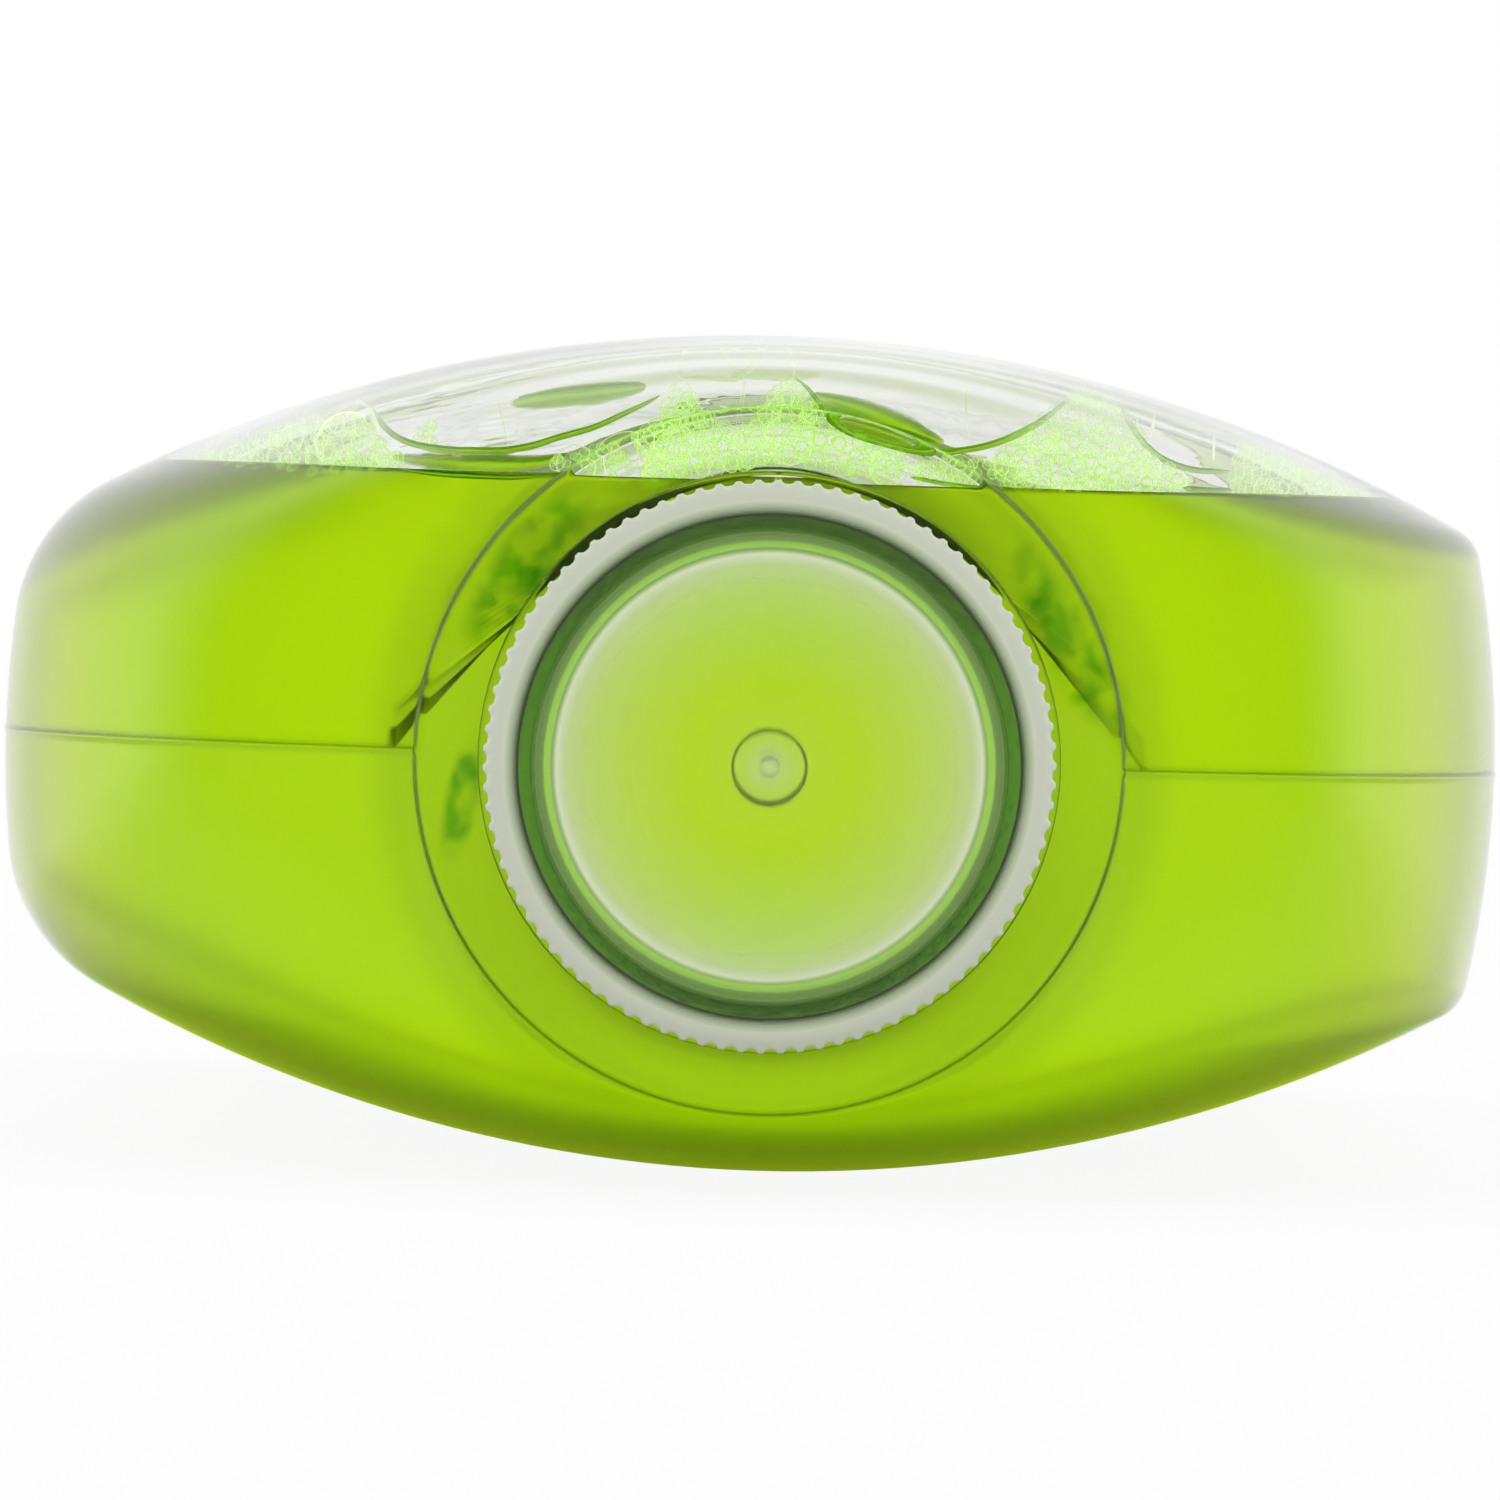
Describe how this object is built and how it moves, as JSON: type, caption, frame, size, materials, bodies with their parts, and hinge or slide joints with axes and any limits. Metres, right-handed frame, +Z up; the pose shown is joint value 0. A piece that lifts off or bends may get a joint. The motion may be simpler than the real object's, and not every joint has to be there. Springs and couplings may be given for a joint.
{
  "type": "floor cleaner bottle",
  "caption": "Clear oval bottle lying on its broad face, filled with lime green liquid and foam, closed by a ribbed translucent screw cap.",
  "frame": {"origin": "on the surface that the bottle lies on, under the middle of its bounding box", "axes": "+Z up from the broad face that it lies on, Y along the bottle with the cap towards -Y, X across its width"},
  "size_m": [0.1124, 0.2394, 0.0627],
  "materials": {
    "clear_pet": "clear blown polyester, glossy",
    "natural_polypropylene": "translucent natural polypropylene, satin",
    "green_liquid": "clear lime green cleaning liquid",
    "soap_foam": "thin walled soap bubbles"
  },
  "bodies": {
    "filled_bottle": {"bottle": "clear_pet", "cleaning_liquid": "green_liquid", "foam": "soap_foam"},
    "screw_cap": {"cap": "natural_polypropylene"}
  },
  "joints": [
    {"name": "cap_off", "type": "slide", "parent": "filled_bottle", "child": "screw_cap", "axis": [0, -1, 0], "range_m": [0, 0.04]}
  ]
}
